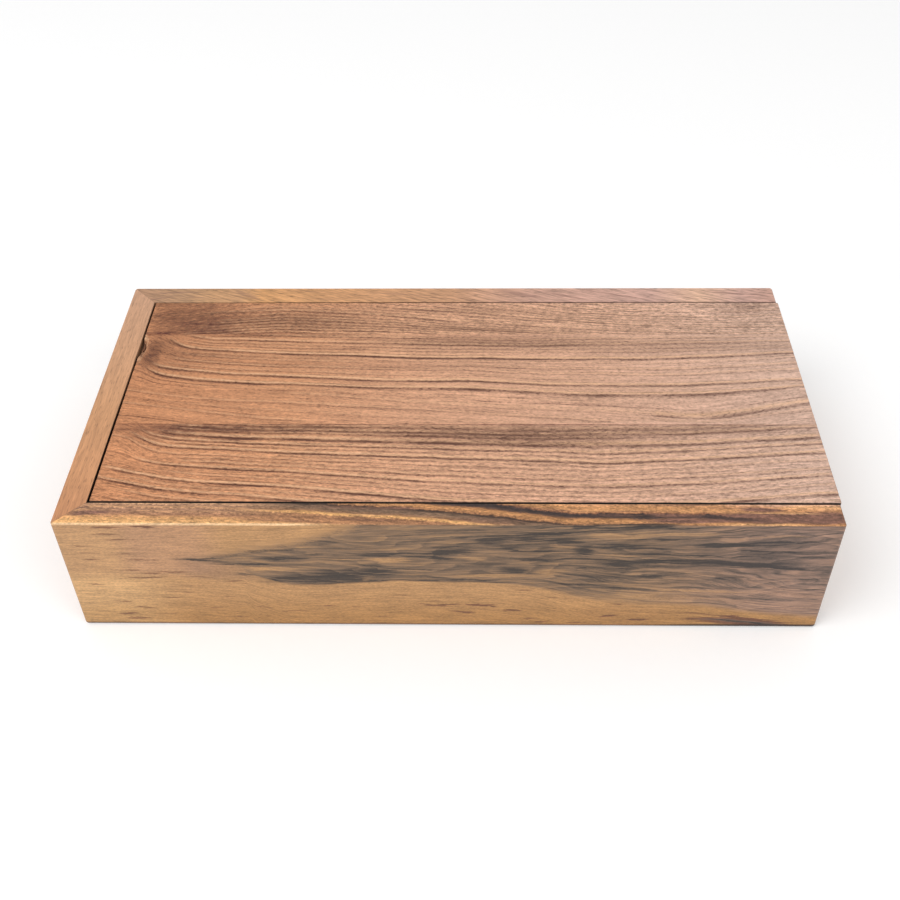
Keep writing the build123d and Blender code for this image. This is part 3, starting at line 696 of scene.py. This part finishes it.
def skin_board(name, x, y, plan_x, plan_y, height):
    """The board's mesh: its top, its sides, the step out to the tongues and the flat underside."""
    nx, ny = x.shape
    number = np.arange(nx * ny).reshape(nx, ny)
    rim = np.concatenate([number[:, 0], number[-1, 1:], number[-2::-1, -1], number[0, -2:0:-1]])
    points = [np.stack([plan_x.ravel(), plan_y.ravel(), height.ravel()], 1)]
    rim_x, rim_y = plan_x.ravel()[rim], plan_y.ravel()[rim]
    out_x = np.where(x.ravel()[rim] == LID_LEFT, TONGUE_LEFT, x.ravel()[rim])
    out_y = y.ravel()[rim]
    out_y = np.where(out_y == LID_FRONT, TONGUE_FRONT, np.where(out_y == LID_BACK, TONGUE_BACK, out_y))
    steps = ((rim_x, rim_y, TONGUE_TOP), (out_x, out_y, TONGUE_TOP), (out_x, out_y, LID_UNDER))
    for loop_x, loop_y, z in steps:
        points.append(np.stack([loop_x, loop_y, np.full(len(rim), z)], 1))
    points.append(np.array([[0.0, (y[0, 0] + y[0, -1]) / 2, LID_UNDER]]))
    points = np.concatenate(points) / MM_PER_M
    corners = [number[:-1, :-1], number[1:, :-1], number[1:, 1:], number[:-1, 1:]]
    faces = np.stack(corners, -1).reshape(-1, 4).tolist()
    loops = [rim] + [nx * ny + k * len(rim) + np.arange(len(rim)) for k in range(3)]
    for upper, lower in zip(loops, loops[1:]):
        faces += np.stack([upper, lower, np.roll(lower, -1), np.roll(upper, -1)], 1).tolist()
    faces += [(len(points) - 1, b, a) for a, b in zip(loops[3].tolist(), np.roll(loops[3], -1).tolist())]
    mesh = bpy.data.meshes.new(name)
    mesh.from_pydata(points.tolist(), [], faces)
    mesh.shade_smooth()
    mesh.set_sharp_from_angle(angle=math.radians(55))
    return mesh, rim


KNOT_END, FINE_STEP, LONG_STEP, ROW_STEP = -104, 0.26, 0.58, 0.31


def saw_board(name, front, back, tracks, rings, smoke, plum, seed, knot=False):
    """One lid board in full relief, which keeps its ring lines, pale bands and grain course as fields."""
    eased = np.array([0.0, 0.05, 0.13, 0.23, EASED_EDGE])
    near_knot = np.arange(LID_LEFT + 0.6, KNOT_END, FINE_STEP)
    past_knot = np.arange(KNOT_END + 0.1, LID_RIGHT - 0.5, LONG_STEP)
    xs = np.concatenate([LID_LEFT + eased, near_knot, past_knot, LID_RIGHT - eased[::-1]])
    rows = np.linspace(front + 0.6, back - 0.6, int((back - front) / ROW_STEP))
    ys = np.concatenate([front + eased, rows, back - eased[::-1]])
    x, y = np.meshgrid(xs, ys, indexing="ij")
    field = grain_field(xs, ys, tracks, seed)
    line, pale = ring_lines(x, field, rings, seed)
    smoky, plummy = smudges(x, y, smoke), smudges(x, y, plum)
    fibre = 0.6 * ripple(x / 3.2, field / 0.5, seed + 5) + 0.4 * ripple(x / 1.3, field / 0.34, seed + 6)
    rough = ripple(x / 1.1, y / 0.8, seed + 7)
    sunk = 0.02 + 0.18 * line + 0.09 * fibre + 0.06 * rough - 0.02 * pale + 0.05 * smoky * fibre
    hollow = np.zeros_like(x)
    if knot:
        hollow, bark, dip = fallen_knot(x, y, seed)
        pale = np.maximum(pale, bark)
        sunk = sunk + HOLLOW_DEPTH * hollow + dip
    height = LID_TOP - np.maximum(sunk, 0.0) - edge_drop(x, y, front, back)
    mesh, rim = skin_board(name, x, y, *eased_corners(x, y, front, back), height)
    fields = {"grain_course": field, "ring_line": line, "pale_band_and_highlight": pale}
    fields.update({"smoke": smoky, "plum": plummy, "hollow": hollow})
    for field_name, values in fields.items():
        values = np.concatenate([values.ravel()] + [values.ravel()[rim]] * 3 + [[values.mean()]])
        made = mesh.attributes.new(field_name, "FLOAT", "POINT")
        made.data.foreach_set("value", values.astype(np.float32))
    board = bpy.data.objects.new(name, mesh)
    bpy.context.scene.collection.objects.link(board)
    return board


LID_SHADE_FROM, LID_SHADE_FULL = 49.7, 50.3
LID_SHADES = [
    (-118, (203, 139, 96)), (-57, (210, 150, 109)), (-8, (217, 163, 129)), (53, (216, 169, 141)),
    (127, (212, 176, 156))
]


def rough_timber(name, seed, coarse):
    """Raw brushed hardwood: orange-tan at the left, pinker and paler to the right, dark rings with pores."""
    wood = Timber(name)

    def field(field_name):
        return wood.node("Attribute", {}, attribute_name=field_name).outputs["Fac"]

    course, line, pale = field("grain_course"), field("ring_line"), field("pale_band_and_highlight")
    smoke, plum, hollow = field("smoke"), field("plum"), field("hollow")
    bold = wood.ease(wood.x, 0, 110, 1.0, 0.75)
    line, pale = wood.times(line, bold), wood.times(pale, bold)
    along = wood.at(wood.x, course, wood.z)
    left_right = wood.ease(wood.x, -118, 127, kind="LINEAR")
    base = wood.ramp(wood.x, -118, 127, LID_SHADES)
    fine = wood.noise((7, 0.42, 2), 3, 0.6, seed, along)
    broad = wood.noise((34, 2.6, 4), 3, 0.55, seed + 1, along)
    speckle = wood.noise((1.5, 1.0, 1.2), 3, 0.75, seed + 2)
    pores = wood.ease(wood.noise((1.5, 0.32, 1), 2, 0.6, seed + 3, along), 0.50, 0.66)
    chips = wood.noise((2.6, 0.62, 1.2), 3, 0.75, seed + 4, along)
    mottle = wood.noise((3.4, 1.5, 3), 4, 0.7, seed + 5)
    weave = wood.plus(wood.sway(broad, 0.7), wood.sway(speckle, 1.1 * coarse))
    weave = wood.plus(wood.sway(fine, coarse), weave)
    fleck = wood.plus(wood.sway(chips, 1.2 * coarse), wood.sway(mottle, 0.7 * coarse, 1.07))
    base = wood.shaded(base, wood.plus(weave, fleck))
    # Partly painted highlight: the pale bands past the furrows are lighter late wood, made brighter as the
    # furrows' lit side.
    base = wood.blend(wood.times(pale, wood.sway(chips, 2.2, 0.85)), base, tone(244, 194, 150))
    smoky = wood.times(smoke, wood.plus(wood.sway(fine, 2.6, 0.85), wood.sway(mottle, 1.8)))
    smoky = wood.clamped(smoky)
    base = wood.blend(smoky, base, wood.blend(left_right, tone(112, 70, 46), tone(134, 100, 80)))
    bruised = wood.times(plum, wood.plus(wood.sway(speckle, 2.4, 0.85), wood.sway(mottle, 4.0)))
    base = wood.blend(wood.clamped(bruised), base, tone(98, 50, 38))
    pitted = wood.times(pores, wood.plus(wood.times(line, 0.8), wood.scaled(smoke, 0.6, 0.2)))
    base = wood.blend(pitted, base, tone(86, 54, 42))
    inked = wood.clamped(wood.times(line, wood.scaled(pores, 0.6, 1.1)))
    base = wood.blend(inked, base, wood.blend(left_right, tone(88, 46, 29), tone(112, 80, 66)))
    heart = wood.at(0.0, wood.plus(wood.y, 12.0 * seed - 60.0), wood.plus(wood.z, 16.0))
    arcs = ring_reach(wood, heart, wood.sway(mottle, 2.0))
    arcs = wood.noise((1.1, 40, 40), 3, 0.6, seed + 6, wood.at(arcs, wood.y, wood.z))
    end = wood.blend(wood.ease(arcs, 0.36, 0.62), tone(186, 138, 106), tone(132, 90, 66))
    end = wood.blend(wood.ease(speckle, 0.56, 0.68, 0.0, 0.5), end, tone(84, 54, 40))
    base = wood.blend(wood.ease(facing(wood, 0), 0.7, 0.95), base, end)
    # The knot's hollow is painted dark to mid brown: partly its own torn wood and bark, partly painted shade
    # of the recess.
    bark = wood.blend(wood.ease(mottle, 0.42, 0.6), tone(66, 38, 25), tone(156, 108, 78))
    base = wood.blend(hollow, base, bark)
    # Painted shade: the lid's left, front and back edges above the tongues are painted near black, where
    # they stand in the shadowed gaps beside the walls; weaker at the back left.
    side = wood.ease(wood.x, LID_LEFT, LID_LEFT + 0.12, 1.0, 0.0)
    side = wood.times(side, wood.ease(wood.y, -25, 15, 0.75, 0.4))
    front_side = wood.ease(wood.y, LID_FRONT + 0.1, LID_FRONT + 0.42, 1.0, 0.0)
    back_side = wood.ease(wood.y, LID_BACK - 0.4, LID_BACK - 0.1)
    back_side = wood.times(back_side, wood.ease(wood.x, -90, -50, 0.3, 0.6))
    gap_shade = wood.math("MAXIMUM", side, wood.math("MAXIMUM", front_side, back_side))
    gap_shade = wood.times(gap_shade, wood.ease(wood.z, LID_SHADE_FROM, LID_SHADE_FULL))
    base = wood.blend(gap_shade, base, tone(12, 8, 6))
    relief = wood.plus(wood.times(fine, 0.6), wood.times(pores, -0.4))
    relief = wood.scaled(speckle, 0.5, relief)
    relief = wood.scaled(chips, 0.6, relief)
    return wood.finish(base, wood.scaled(fine, -0.15, 0.9), relief, 0.2)


def fit_board(board, node):
    """The board slides with the lid and takes the place of its plain packed one."""
    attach(board, "lid")
    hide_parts(node)


# The front board: close, even rings that sweep back at the left end, and a smoky band along its back seam.
FRONT_LEFT_SWEEP = [
    (-117, 11, 8.7), (-111, 10, 7), (-108, 7, 6.3), (-105, 4.5, 5.5), (-100, 3, 4.2), (-95, 2, 3),
    (-80, 1, 1), (-66, 0, 0),
]
FRONT_DRIFT = [(-10, -0.5, 0.19), (50, -2.0, 0.266), (90, -0.5, 0.24), (127, 2.5, 0.19)]
FRONT_LABELS = range(-84, 13, 6)
FRONT_TRACKS = {}
for label in FRONT_LABELS:
    backward = np.clip((label + 44) / 8, 0, 1)
    line = [(px, label + high * backward + low * (1 - backward)) for px, high, low in FRONT_LEFT_SWEEP]
    line += [(px, label + shift + spread * (label + 18)) for px, shift, spread in FRONT_DRIFT]
    FRONT_TRACKS[label] = line
FRONT_RINGS = [
    (-17.9, 0.55, 0.3, -100, 140), (-19.9, 0.75, 0.35, -99, 130), (-21.4, 0.6, 0.3, -100, 60),
    (-24.2, 0.85, 0.45, -103, 130), (-26.8, 0.75, 0.32, -110, 140), (-28.4, 0.4, 0.25, -106, 140),
    (-30.5, 0.85, 0.35, -112, 140), (-31.9, 0.4, 0.25, -60, 90), (-33.6, 0.4, 0.25, -130, 140),
    (-35.3, 0.35, 0.25, -95, 100), (-37.2, 0.5, 0.3, -93, 140), (-39.7, 0.75, 0.33, -108, 130),
    (-41.6, 0.3, 0.25, -60, 140), (-43.5, 0.4, 0.25, -96, 140), (-46.9, 0.9, 0.36, -117, 140),
    (-49.6, 0.35, 0.25, -110, 140), (-52.2, 0.75, 0.36, -130, 140), (-56.0, 0.4, 0.3, -110, 140),
    (-60.0, 0.4, 0.3, -110, 140),
]
FRONT_SMOKE = [
    (-62, -18.9, 44, 2.6, 0, 0.75), (26, -21.5, 42, 4.6, -0.02, 0.8), (88, -19.0, 34, 3.2, 0.02, 0.55),
    (10, -26, 40, 2.0, -0.02, 0.4), (-73, -24.3, 7, 0.7, 0, 0.9), (-8, -22.7, 9, 0.7, -0.02, 0.9),
    (20, -24.3, 8, 0.8, -0.02, 0.8), (32, -26.6, 20, 0.7, 0, 0.6),
]
FRONT_PLUM = [
    (-97, -18.8, 15, 2.6, 0, 0.6), (-104, -23.5, 10, 1.6, -0.05, 0.3), (-73, -24.4, 6, 0.6, 0, 0.7),
    (-108, -16.6, 12, 0.4, 0, 0.9), (-50, -16.8, 34, 0.3, 0, 0.5), (30, -16.7, 50, 0.35, 0, 0.6),
    (90, -16.7, 40, 0.3, 0, 0.5), (-80, -20.3, 18, 0.4, -0.01, 0.6), (-82, -18.2, 18, 0.35, -0.01, 0.5),
    (-98, -22.1, 4, 0.4, -0.15, 0.8), (-115, -19.6, 4, 0.3, 0, 0.6), (-8, -22.6, 9, 0.5, -0.02, 0.7),
]
front_marks = (FRONT_TRACKS, FRONT_RINGS, FRONT_SMOKE, FRONT_PLUM)
front_board = saw_board("lid_front_board_relief", LID_FRONT, FRONT_SEAM, *front_marks, 11)
front_board.data.materials.append(rough_timber("front_board_timber", 1.0, 1.1))
fit_board(front_board, "lid_front_board")

# The middle board lost a knot at its left end, and its rings sweep round the hollow.
MIDDLE_TRACKS = {
    48: [(-117, 60), (-101, 52), (-66, 48), (127, 46)],
    30.2: [
        (-117, 42), (-109, 38), (-101, 34), (-90, 31), (-66, 30.2), (-35, 29), (-10, 28.2), (25, 27.5),
        (60, 27.9), (100, 29.3), (127, 30.5)
    ],
    22.6: [
        (-117, 37), (-110, 35), (-107, 33), (-104, 28), (-100, 26.5), (-95, 25.3), (-85, 24.3), (-75, 23.2),
        (-50, 22.3), (-30, 21.2), (-10, 20.1), (5, 20.2), (45, 19.2), (80, 20), (100, 21.2), (127, 23.2)
    ],
    15: [
        (-117, 29), (-113, 25), (-110, 21.5), (-105, 19.5), (-95, 18), (-85, 16.6), (-66, 15), (-50, 14.5),
        (-30, 13.6), (-10, 12.8), (5, 12.8), (35, 10.6), (70, 10), (90, 10.8), (127, 13.5)
    ],
    9.4: [
        (-117, 24), (-115, 20), (-113, 17.3), (-110, 15), (-105, 13.5), (-95, 12), (-85, 11.2), (-75, 10.5),
        (-66, 9.8), (-55, 8.8), (-35, 7.3), (-5, 6.5), (8, 6.8), (30, 5), (45, 4.4), (80, 4.3), (110, 6.3),
        (127, 7.8)
    ],
    5.0: [
        (-117, 18), (-113, 15), (-112, 13), (-110, 11), (-105, 9.3), (-95, 7.5), (-80, 6.2), (-60, 4.8),
        (-30, 3.4), (8, 2.8), (25, 1.2), (45, 0), (75, -1), (90, -0.4), (115, 2), (127, 4)
    ],
    -0.5: [
        (-117, 4.5), (-105, 2.2), (-95, 1.2), (-80, 0.2), (-66, -0.5), (-40, -1.8), (-10, -5.5), (20, -8.5),
        (50, -9.9), (70, -11.3), (80, -12.7), (90, -13.3), (100, -12.5), (107, -10.5), (127, -5.6)
    ],
    -5.2: [
        (-117, 1.6), (-113, 0.8), (-100, -1.8), (-80, -4.2), (-66, -5.2), (-10, -9), (30, -13), (60, -15.5),
        (90, -17.5), (127, -12)
    ],
    -14: [
        (-117, -5.5), (-95, -9.3), (-75, -12.5), (-66, -14), (-50, -15.5), (-10, -18.5), (30, -22),
        (90, -26), (127, -21)
    ],
    -26: [(-117, -17), (-66, -26), (-10, -30), (90, -38), (127, -33)],
}
MIDDLE_RINGS = [
    (33.4, 0.5, 0.3, -80, 140), (31.8, 0.35, 0.25, -30, 100), (30.2, 0.65, 0.35, -101, 140),
    (28.0, 0.4, 0.3, -96, 140), (26.2, 0.45, 0.25, -104, 140), (24.4, 0.35, 0.25, -98, 20),
    (22.6, 0.9, 0.4, -108, 140), (20.3, 0.3, 0.25, -98, 140), (18.6, 0.4, 0.25, -105, -30),
    (17.6, 0.45, 0.3, -10, 140), (15.0, 0.45, 0.3, -106, 140), (12.2, 0.35, 0.25, -108, 60),
    (9.4, 0.8, 0.4, -113, 140), (7.4, 0.25, 0.25, 20, 140), (5.0, 0.85, 0.4, -114, 140),
    (2.2, 0.2, 0.25, -100, 60), (-0.5, 0.25, 0.4, -60, 80), (-0.5, 0.75, 0.4, 68, 140),
    (-3.0, 0.3, 0.3, 60, 140), (-5.2, 0.35, 0.35, -130, 60), (-9.5, 0.2, 0.3, -110, 30),
    (-14, 0.35, 0.3, -130, -50),
]
MIDDLE_SMOKE = [
    (20, 29.3, 52, 3.4, -0.01, 0.5), (10, 32.8, 24, 1.2, -0.01, 0.4), (90, 27, 40, 3.5, 0.03, 0.3),
    (-111.5, 24, 2.8, 8, 0, 0.8), (-114, 19, 3, 4, 0, 0.5), (-108, 29, 5, 4, 0, 0.4),
    (-70, 33.6, 30, 0.8, 0, 0.6), (-30, 15, 60, 3, -0.02, 0.25), (90, -11, 26, 1.5, 0.02, 0.3),
    (-104, 20, 14, 9, 0, 0.35), (-92, 22, 18, 1.2, -0.08, 0.3),
]
MIDDLE_PLUM = [
    (-111.8, 23, 2.4, 7, 0.2, 0.4), (-108, 34.3, 9, 0.3, 0, 0.7), (-45, -15.5, 2.2, 0.5, 0, 0.5),
    (-37, -15.5, 2.2, 0.5, 0, 0.5), (-15, 20.3, 26, 0.5, -0.02, 0.3)
]
middle_marks = (MIDDLE_TRACKS, MIDDLE_RINGS, MIDDLE_SMOKE, MIDDLE_PLUM)
middle_board = saw_board("lid_middle_board_relief", FRONT_SEAM, BACK_SEAM, *middle_marks, 31, knot=True)
middle_board.data.materials.append(rough_timber("middle_board_timber", 5.0, 0.7))
fit_board(middle_board, "lid_middle_board")

# The back board is the roughest, with a bruised left corner.
BACK_TRACKS = {
    75: [(-117, 68), (-66, 75), (20, 62), (70, 55), (127, 56)],
    66: [(-117, 59), (-66, 66), (-14, 60), (20, 54), (42, 48.5), (70, 46.3), (110, 45), (127, 47)],
    56: [
        (-117, 49), (-66, 56), (-40, 53.5), (-14, 50.2), (5, 48.5), (20, 46.5), (35, 44.5), (50, 42.3),
        (62, 41), (90, 39.2), (127, 39.2)
    ],
    49.7: [
        (-117, 43), (-97, 47), (-90, 48.3), (-66, 49.7), (-40, 47.5), (-20, 45.5), (10, 41.8), (42, 38.5),
        (60, 37), (90, 35.3), (115, 34.5), (127, 35.2)
    ],
    44: [
        (-117, 38), (-97, 40.5), (-66, 44), (-40, 42), (-20, 40.5), (10, 37.5), (42, 34.5), (90, 31),
        (127, 31)
    ],
    38: [(-117, 33), (-97, 35), (-66, 38), (-40, 36.8), (-20, 35.8), (10, 33.5), (42, 30.5), (127, 27)],
    28: [(-117, 24), (-66, 28), (10, 24), (127, 18)],
}
BACK_RINGS = [
    (36.2, 0.5, 0.3, -112, 140), (38.0, 0.6, 0.35, -104, 140), (39.8, 0.5, 0.3, -100, 30),
    (41.8, 0.55, 0.3, -98, 60), (43.8, 0.6, 0.35, -96, 80), (45.4, 0.5, 0.3, -92, 70),
    (47.4, 0.4, 0.3, -80, 140), (49.7, 0.6, 0.4, -98, 140), (52.0, 0.4, 0.3, -85, 140),
    (54.0, 0.4, 0.3, -40, 140), (56.0, 0.65, 0.35, -24, 140), (58.5, 0.4, 0.3, -10, 140),
    (61.0, 0.5, 0.3, 0, 140), (63.5, 0.35, 0.3, 10, 140), (66.0, 0.4, 0.3, 20, 140),
    (69.0, 0.35, 0.3, 30, 140), (72.0, 0.3, 0.3, 40, 140),
]
BACK_SMOKE = [
    (-58, 41, 28, 5.5, -0.03, 0.4), (-102, 45, 20, 11, 0, 0.65), (-60, 46, 30, 8, 0, 0.3),
    (5, 37.8, 32, 1.8, -0.05, 0.5), (-10, 50.0, 22, 1.2, -0.08, 0.35), (116, 50.5, 12, 4.5, 0, 0.4),
    (-110, 48, 6, 4, 0.4, 0.35), (20, 50, 40, 3, -0.08, 0.2), (-108, 53.6, 16, 1.0, 0, 0.5),
]
BACK_PLUM = [
    (-97, 40.3, 12, 4.4, 0, 0.6), (-92, 44.8, 7, 0.9, 0, 0.7), (-97, 50.8, 6, 1.3, 0.35, 0.55),
    (-97, 36.5, 16, 1.2, 0, 0.5), (-110, 35.5, 8, 0.6, 0, 0.85), (-95, 41.2, 8, 0.6, -0.03, 0.7),
    (-88, 37.5, 3, 0.7, -0.6, 0.5), (-112, 35.0, 7, 0.35, 0, 0.9), (-112, 48, 3, 0.6, 0.8, 0.5),
    (-110, 44, 3, 0.6, 0.9, 0.4), (-100, 52.8, 5, 0.5, 0.3, 0.5), (-75, 34.9, 30, 0.35, 0, 0.5),
]
back_marks = (BACK_TRACKS, BACK_RINGS, BACK_SMOKE, BACK_PLUM)
back_board = saw_board("lid_back_board_relief", BACK_SEAM, LID_BACK, *back_marks, 51)
back_board.data.materials.append(rough_timber("back_board_timber", 9.0, 1.7))
fit_board(back_board, "lid_back_board")


# The table is a sheet of pale matt paper that runs back out of sight. It glows a little where it is looked
# at straight, and so stays as pale as the room behind it.
PAPER_GLOW = 0.13


def lay_table():
    mesh = bpy.data.meshes.new("table")
    reach = 6.0
    corners = [(-reach, -reach, 0), (reach, -reach, 0), (reach, reach, 0), (-reach, reach, 0)]
    mesh.from_pydata(corners, [], [(0, 1, 2, 3)])
    table = bpy.data.objects.new("table", mesh)
    bpy.context.scene.collection.objects.link(table)
    paper = Timber("table_paper")
    seen = paper.node("LightPath", {})
    seen_straight = paper.math("MAXIMUM", seen.outputs["Is Camera Ray"], seen.outputs["Is Glossy Ray"])
    seen_straight = paper.math("MAXIMUM", seen_straight, seen.outputs["Is Transmission Ray"])
    speck = paper.noise((3, 3, 3), 3)
    white = paper.blend(speck, tone(246, 246, 246), tone(250, 250, 250))
    paper.finish(white, paper.ease(speck, 0, 1, 0.85, 0.95))
    paper.shader.inputs["Emission Color"].default_value = (1, 1, 1, 1)
    glow = paper.times(seen_straight, PAPER_GLOW)
    paper.tree.links.new(glow, paper.shader.inputs["Emission Strength"])
    mesh.materials.append(paper.material)


lay_table()


# The light is one wide soft lamp high over the front left and a weaker one over the front right, in a white
# room that looks brighter than the light that it gives.
def hang_lamp(name, place, aim, size, power):
    """A round soft lamp that looks at its aim; size in metres, power in watts."""
    light = bpy.data.lights.new(name, "AREA")
    light.shape = "DISK"
    light.size = size
    light.energy = power
    lamp = bpy.data.objects.new(name, light)
    lamp.location = place
    lamp.rotation_mode = "QUATERNION"
    lamp.rotation_quaternion = (Vector(aim) - Vector(place)).to_track_quat("-Z", "Y")
    bpy.context.scene.collection.objects.link(lamp)


hang_lamp("key_lamp", (-0.9, -0.7, 1.5), (0, 0, 0), 1.2, 14.0)
hang_lamp("fill_lamp", (0.9, -0.9, 1.1), (0, 0, 0), 1.0, 5.0)

world = bpy.data.worlds.new("white_room")
bpy.context.scene.world = world
world.use_nodes = True
room = world.node_tree
path = room.nodes.new("ShaderNodeLightPath")
strength = room.nodes.new("ShaderNodeMapRange")
ROOM_LIGHT, ROOM_SEEN = 0.62, 1.0
strength.inputs[3].default_value, strength.inputs[4].default_value = ROOM_LIGHT, ROOM_SEEN
room.links.new(path.outputs["Is Camera Ray"], strength.inputs[0])
room.nodes["Background"].inputs["Color"].default_value = (1, 1, 1, 1)
room.links.new(strength.outputs[0], room.nodes["Background"].inputs["Strength"])


# The camera stands in front of the box and looks down at it, turned and tilted by about a degree. Its place
# and lens were solved from the corners, the walls and the lid lines in the photograph.
CAMERA_PLACE = (0.00891, -0.31697, 0.32112)
CAMERA_YAW, CAMERA_PITCH, CAMERA_ROLL = -1.6702, 43.2179, -1.0394
CAMERA_LENS, SENSOR = 46.3925, 36.0


def set_camera():
    yaw, pitch, roll = (math.radians(v) for v in (CAMERA_YAW, CAMERA_PITCH, CAMERA_ROLL))
    ahead = np.array([math.sin(yaw) * math.cos(pitch), math.cos(yaw) * math.cos(pitch), -math.sin(pitch)])
    level = np.array([math.cos(yaw), -math.sin(yaw), 0.0])
    upward = np.cross(level, ahead)
    right = math.cos(roll) * level + math.sin(roll) * upward
    up = -math.sin(roll) * level + math.cos(roll) * upward
    data = bpy.data.cameras.new("camera")
    data.sensor_width, data.lens = SENSOR, CAMERA_LENS
    data.clip_start, data.clip_end = 0.01, 50
    camera = bpy.data.objects.new("camera", data)
    turn = Matrix([[right[i], up[i], -ahead[i]] for i in range(3)]).to_4x4()
    camera.matrix_world = Matrix.Translation(CAMERA_PLACE) @ turn
    bpy.context.scene.collection.objects.link(camera)
    bpy.context.scene.camera = camera


set_camera()
bpy.context.scene.view_settings.view_transform = "Standard"
